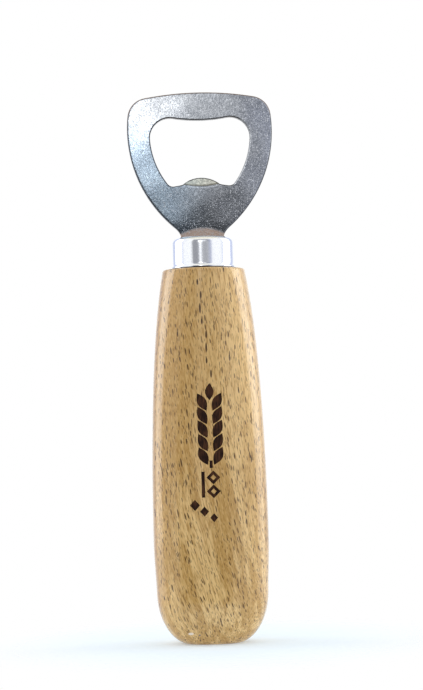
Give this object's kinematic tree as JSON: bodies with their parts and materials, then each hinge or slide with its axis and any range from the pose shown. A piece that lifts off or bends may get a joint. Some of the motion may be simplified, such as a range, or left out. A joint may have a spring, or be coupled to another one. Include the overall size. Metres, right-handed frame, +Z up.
{
  "type": "bottle opener",
  "caption": "Hand bottle opener: stamped steel head with a cap opening and bent tooth, slotted aluminium ferrule, and an oval beech handle that stands on its flat end.",
  "frame": {"origin": "centre of the handle's flat base, which the opener stands on", "axes": "+Z up the handle to the head, +X across the head's width, and the head's front faces -Y, with its tooth bent back towards +Y"},
  "size_m": [0.0394, 0.0224, 0.149],
  "materials": {
    "handle_wood": "straight-grained beech, clear satin lacquer",
    "ferrule_aluminium": "drawn, bright polished",
    "plated_steel": "tumbled and nickel plated, fine sparkle and small scratches",
    "cured_glue": "cured amber glue"
  },
  "bodies": {
    "root": {"handle": "handle_wood", "ferrule": "ferrule_aluminium", "opener_head": "plated_steel", "tang_glue": "cured_glue"}
  },
  "joints": []
}
